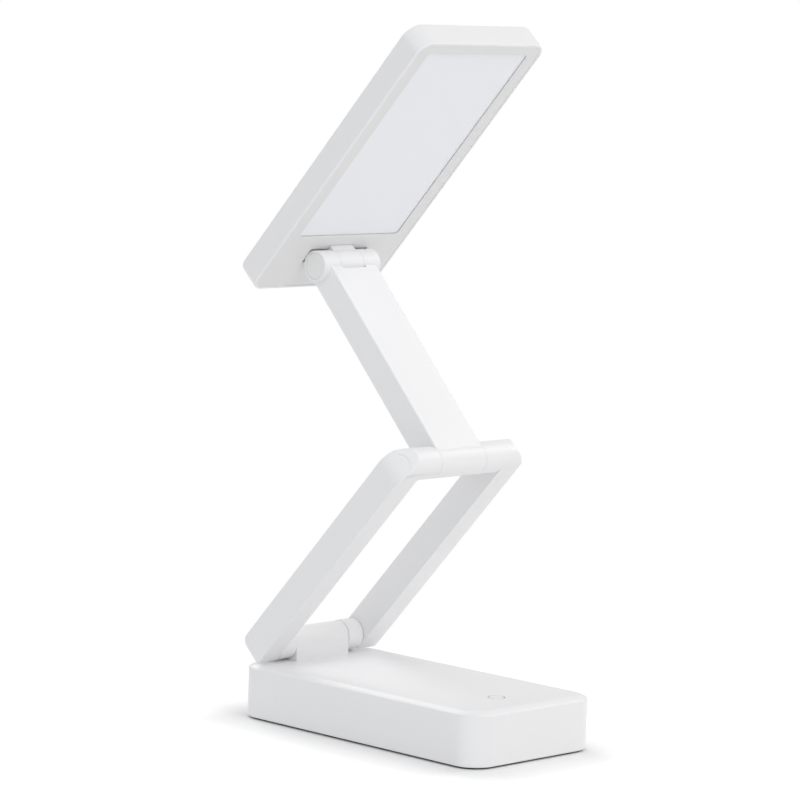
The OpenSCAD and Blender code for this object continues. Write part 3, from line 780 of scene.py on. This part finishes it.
def floor_finish():
    """Matt white paper that keeps the lamp's shadow, adds a painted shadow round the base, and
    goes pure white further off.
    """
    material, tree = new_finish("white paper sweep")
    place = add_node(tree, "ShaderNodeTexCoord").outputs["Object"]
    # how far a spot lies outside the base's footprint, less its corner radius, in metres
    size = add_node(tree, "ShaderNodeVectorMath", {"operation": "ABSOLUTE"}, {0: place})
    past = add_node(tree, "ShaderNodeVectorMath",
                    {"operation": "SUBTRACT", 1: (34.45 * MM, 80.2 * MM, 0)},
                    {0: size.outputs["Vector"]})
    outer = add_node(tree, "ShaderNodeVectorMath", {"operation": "MAXIMUM", 1: (0, 0, 0)},
                     {0: past.outputs["Vector"]})
    reach = add_node(tree, "ShaderNodeVectorMath", {"operation": "LENGTH"},
                     {0: outer.outputs["Vector"]})
    # the paper is lifted towards white all round the lamp, but not under it, and the lift only
    # builds up from about 2 mm to 35 mm past the base's edge: a painted shadow round the base
    lift_past_painted_shadow = add_node(tree, "ShaderNodeMapRange",
                         {"From Min": 17 * MM, "From Max": 50 * MM, "To Min": 0.0,
                          "To Max": FLOOR_LIFT}, {"Value": reach.outputs["Value"]})
    fade = add_node(tree, "ShaderNodeMapRange",
                    {"From Min": 80 * MM, "From Max": 300 * MM, "To Min": 0.0, "To Max": 1.0,
                     "interpolation_type": "SMOOTHSTEP"},
                    {"Value": reach.outputs["Value"]})
    path = add_node(tree, "ShaderNodeLightPath").outputs
    seen = larger(tree, path["Is Camera Ray"], path["Is Glossy Ray"]).outputs["Value"]
    seen = larger(tree, seen, path["Is Transmission Ray"]).outputs["Value"]
    paper = add_node(tree, "ShaderNodeBsdfDiffuse", {"Color": PAPER}).outputs["BSDF"]
    lift = add_node(tree, "ShaderNodeEmission", {"Color": WHITE},
                    {"Strength": lift_past_painted_shadow.outputs["Result"]})
    lifted = add_node(tree, "ShaderNodeAddShader", {}, {0: paper, 1: lift.outputs["Emission"]})
    white = add_node(tree, "ShaderNodeEmission", {"Color": WHITE, "Strength": 1.0})
    shown = add_node(tree, "ShaderNodeMixShader", {},
                     {"Fac": fade.outputs["Result"], 1: lifted.outputs["Shader"],
                      2: white.outputs["Emission"]})
    # light that bounces off the floor meets plain paper
    surface = add_node(tree, "ShaderNodeMixShader", {},
                       {"Fac": seen, 1: paper, 2: shown.outputs["Shader"]})
    add_node(tree, "ShaderNodeOutputMaterial", {}, {"Surface": surface.outputs["Shader"]})
    return material


def studio_floor():
    bpy.ops.mesh.primitive_plane_add(size=8, location=(0, 0, 0))
    floor = bpy.context.object
    floor.name = "studio_floor"
    floor.data.materials.append(floor_finish())


def studio_world():
    """Even white surroundings, shown as pure white where the camera sees them."""
    world = bpy.data.worlds.new("white studio")
    world.use_nodes = True
    tree = world.node_tree
    tree.nodes.clear()
    path = add_node(tree, "ShaderNodeLightPath").outputs
    seen = larger(tree, path["Is Camera Ray"], path["Is Transmission Ray"])
    strength = add_node(tree, "ShaderNodeMapRange", {"To Min": WORLD_LEVEL, "To Max": 1.0},
                        {"Value": seen.outputs["Value"]})
    light = add_node(tree, "ShaderNodeBackground", {"Color": WHITE},
                     {"Strength": strength.outputs["Result"]})
    add_node(tree, "ShaderNodeOutputWorld", {}, {"Surface": light.outputs["Background"]})
    bpy.context.scene.world = world


AIM = Vector((0, 0, 0.18))
WARM, COOL = (1, 0.993, 0.988), (0.88, 0.93, 1)
# name, place in metres, side in metres, watts and colour
SOFT_BOXES = (
    ("key_soft_box", (-0.2, -2.1, 1.6), 1.0, 13.5, WARM),
    ("high_soft_box", (-0.9, -1.3, 2.3), 1.0, 6, WARM),
    ("rear_soft_box", (0.5, 1.9, 1.6), 1.4, 16.5, WARM),
    ("right_fill", (1.8, -0.5, 1.2), 1.0, 10, WARM),
    ("left_fill", (-2.2, -0.4, 1.0), 1.4, 6.5, COOL),
)


def soft_box(name, place, size, watts, colour):
    light = bpy.data.lights.new(name, "AREA")
    light.shape = "SQUARE"
    light.size = size
    light.energy = watts
    light.color = colour
    holder = bpy.data.objects.new(name, light)
    bpy.context.scene.collection.objects.link(holder)
    holder.location = place
    holder.rotation_euler = (AIM - Vector(place)).to_track_quat("-Z", "Y").to_euler()


studio_floor()
studio_world()
for box in SOFT_BOXES:
    soft_box(*box)

# ------------------------------------------------------------------ camera

# The viewpoint: in front and to the left, a little above, with a slight roll. The target and
# the distance are in mm, and the focal length is a share of the frame's width.
AZIMUTH, ELEVATION, ROLL = (math.radians(v) for v in (-44.895, 6.315, 1.761))
DISTANCE = 1987.950
FOCAL_SHARE = 3567.887 / 800
TARGET = Vector((-19.272, 0, 190.768))
SENSOR_MM = 36


def studio_camera():
    look = Vector((-math.sin(AZIMUTH) * math.cos(ELEVATION),
                   math.cos(AZIMUTH) * math.cos(ELEVATION), -math.sin(ELEVATION)))
    right = Vector((math.cos(AZIMUTH), math.sin(AZIMUTH), 0))
    up = right.cross(look)
    rolled_right = right * math.cos(ROLL) + up * math.sin(ROLL)
    rolled_up = up * math.cos(ROLL) - right * math.sin(ROLL)
    lens = bpy.data.cameras.new("camera")
    lens.sensor_width = SENSOR_MM
    lens.lens = FOCAL_SHARE * SENSOR_MM
    lens.clip_end = 50
    camera = bpy.data.objects.new("camera", lens)
    bpy.context.scene.collection.objects.link(camera)
    turn = Matrix((rolled_right, rolled_up, -look)).transposed().to_4x4()
    camera.matrix_world = Matrix.Translation((TARGET - look * DISTANCE) * MM) @ turn
    bpy.context.scene.camera = camera


studio_camera()
bpy.context.scene.view_settings.view_transform = "Standard"
